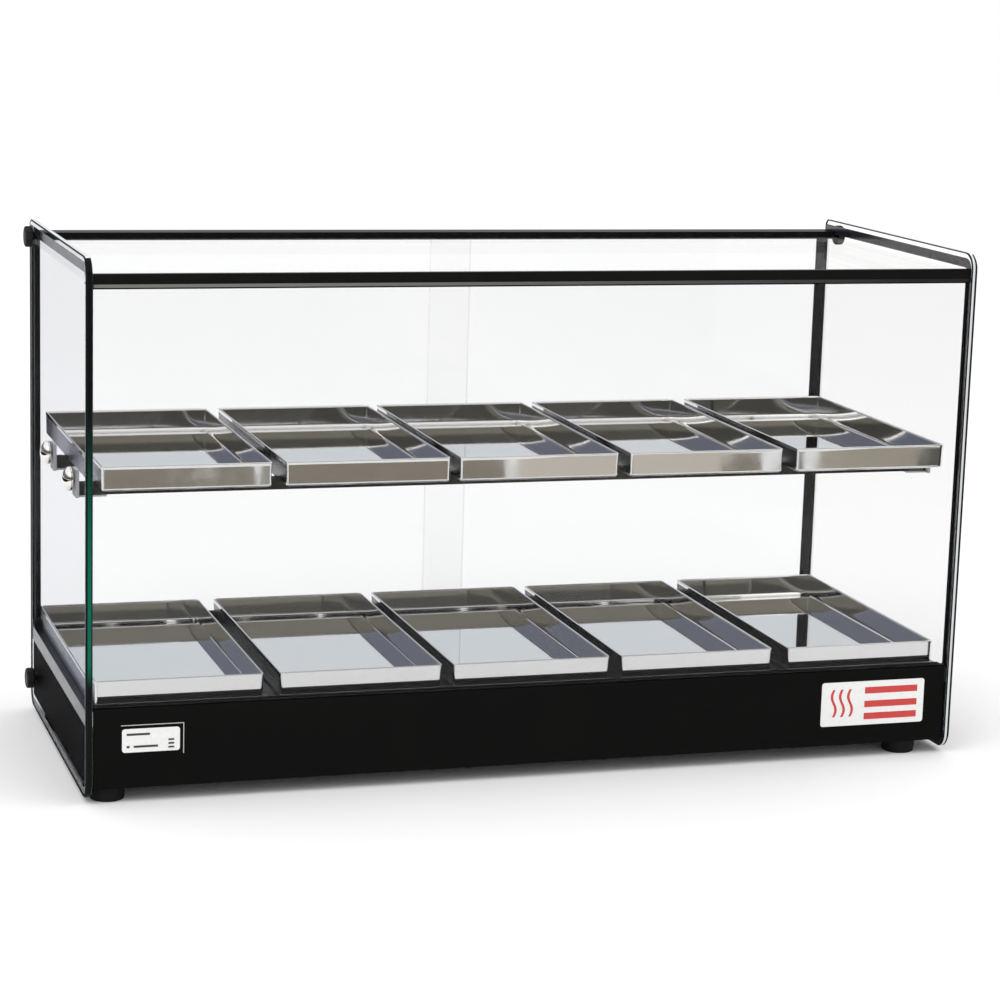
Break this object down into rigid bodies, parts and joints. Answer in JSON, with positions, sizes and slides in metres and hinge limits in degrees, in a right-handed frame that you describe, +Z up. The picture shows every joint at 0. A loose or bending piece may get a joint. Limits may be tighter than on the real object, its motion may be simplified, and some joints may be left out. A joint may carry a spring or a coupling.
{
  "type": "countertop food warming display cabinet",
  "caption": "Countertop glass display cabinet with a heated black base, loose steel trays on two levels and sliding rear glass doors.",
  "frame": {"origin": "centre of the footprint at table level, under the rubber feet", "axes": "+X along the width, to the right seen from the customer; +Y to the operator at the rear; +Z up"},
  "size_m": [0.8598, 0.342, 0.486],
  "materials": {
    "clear_glass": "clear float glass with polished edges and a black printed border on the side panes",
    "black_aluminium": "satin black anodised extrusion",
    "polished_steel": "bright polished stainless sheet",
    "tray_steel": "mirror polished stainless sheet",
    "chrome": "mirror bright",
    "black_plastic": "satin moulded",
    "black_paint": "satin black powder coat",
    "black_rubber": "matt",
    "zinc_steel": "plain plated or drawn steel",
    "bare_aluminium": "mill finish",
    "terminal_ceramic": "unglazed",
    "amber_lens": "clear moulded lens",
    "white_label": null
  },
  "bodies": {
    "case": {"side_glass_left": "clear_glass", "side_glass_right": "clear_glass", "front_glass": "clear_glass", "top_glass": "clear_glass", "front_top_rail": "black_aluminium", "rear_top_rail": "black_aluminium", "rear_bottom_track": "black_aluminium", "rear_post_left": "black_aluminium", "rear_post_right": "black_aluminium", "shelf_rail_front": "polished_steel", "shelf_rail_rear": "polished_steel", "base_deck": "polished_steel", "shelf_bracket_front_left": "polished_steel", "shelf_bracket_front_right": "polished_steel", "shelf_bracket_rear_left": "polished_steel", "shelf_bracket_rear_right": "polished_steel", "shelf_stud_front_left": "chrome", "shelf_stud_front_right": "chrome", "shelf_stud_rear_left": "chrome", "shelf_stud_rear_right": "chrome", "glass_knob_top_left": "black_plastic", "glass_knob_top_right": "black_plastic", "glass_knob_bottom_left": "black_plastic", "glass_knob_bottom_right": "black_plastic", "thermostat_body": "black_plastic", "cable_gland": "black_plastic", "switch_housing": "black_plastic", "base_shell": "black_paint", "bottom_cover": "black_paint", "control_panel": "black_paint", "foot_front_left": "black_rubber", "foot_front_right": "black_rubber", "foot_rear_left": "black_rubber", "foot_rear_right": "black_rubber", "cover_screw_left": "zinc_steel", "cover_screw_right": "zinc_steel", "heating_element": "zinc_steel", "heat_reflector": "bare_aluminium", "element_bracket_left": "bare_aluminium", "element_bracket_right": "bare_aluminium", "terminal_block": "terminal_ceramic", "pilot_lamp": "amber_lens", "label_plate_left": "white_label", "label_plate_right": "white_label"},
    "door_left": {"sliding_door_left": "clear_glass", "door_pull_left": "black_plastic"},
    "door_right": {"sliding_door_right": "clear_glass", "door_pull_right": "black_plastic"},
    "thermostat_dial": {"thermostat_knob": "black_plastic"},
    "rocker": {"switch_rocker": "black_plastic"},
    "lift_out_tray_lower_1": {"tray_lower_1": "tray_steel"},
    "lift_out_tray_lower_2": {"tray_lower_2": "tray_steel"},
    "lift_out_tray_lower_3": {"tray_lower_3": "tray_steel"},
    "lift_out_tray_lower_4": {"tray_lower_4": "tray_steel"},
    "lift_out_tray_lower_5": {"tray_lower_5": "tray_steel"},
    "lift_out_tray_upper_1": {"tray_upper_1": "tray_steel"},
    "lift_out_tray_upper_2": {"tray_upper_2": "tray_steel"},
    "lift_out_tray_upper_3": {"tray_upper_3": "tray_steel"},
    "lift_out_tray_upper_4": {"tray_upper_4": "tray_steel"},
    "lift_out_tray_upper_5": {"tray_upper_5": "tray_steel"}
  },
  "joints": [
    {"name": "door_left_slide", "type": "slide", "parent": "case", "child": "door_left", "axis": [1, 0, 0], "range_m": [0, 0.38]},
    {"name": "door_right_slide", "type": "slide", "parent": "case", "child": "door_right", "axis": [-1, 0, 0], "range_m": [0, 0.38]},
    {"name": "thermostat_turn", "type": "hinge", "parent": "case", "child": "thermostat_dial", "pos_m": [0.25, 0.144, 0.05], "axis": [0, -1, 0], "range_deg": [0, 280]},
    {"name": "rocker_tilt", "type": "hinge", "parent": "case", "child": "rocker", "pos_m": [0.15, 0.1375, 0.05], "axis": [1, 0, 0], "range_deg": [0, 20]},
    {"name": "tray_lower_1_lift", "type": "slide", "parent": "case", "child": "lift_out_tray_lower_1", "axis": [0, 0, 1], "range_m": [0, 0.15]},
    {"name": "tray_lower_2_lift", "type": "slide", "parent": "case", "child": "lift_out_tray_lower_2", "axis": [0, 0, 1], "range_m": [0, 0.15]},
    {"name": "tray_lower_3_lift", "type": "slide", "parent": "case", "child": "lift_out_tray_lower_3", "axis": [0, 0, 1], "range_m": [0, 0.15]},
    {"name": "tray_lower_4_lift", "type": "slide", "parent": "case", "child": "lift_out_tray_lower_4", "axis": [0, 0, 1], "range_m": [0, 0.15]},
    {"name": "tray_lower_5_lift", "type": "slide", "parent": "case", "child": "lift_out_tray_lower_5", "axis": [0, 0, 1], "range_m": [0, 0.15]},
    {"name": "tray_upper_1_lift", "type": "slide", "parent": "case", "child": "lift_out_tray_upper_1", "axis": [0, 0, 1], "range_m": [0, 0.15]},
    {"name": "tray_upper_2_lift", "type": "slide", "parent": "case", "child": "lift_out_tray_upper_2", "axis": [0, 0, 1], "range_m": [0, 0.15]},
    {"name": "tray_upper_3_lift", "type": "slide", "parent": "case", "child": "lift_out_tray_upper_3", "axis": [0, 0, 1], "range_m": [0, 0.15]},
    {"name": "tray_upper_4_lift", "type": "slide", "parent": "case", "child": "lift_out_tray_upper_4", "axis": [0, 0, 1], "range_m": [0, 0.15]},
    {"name": "tray_upper_5_lift", "type": "slide", "parent": "case", "child": "lift_out_tray_upper_5", "axis": [0, 0, 1], "range_m": [0, 0.15]}
  ]
}
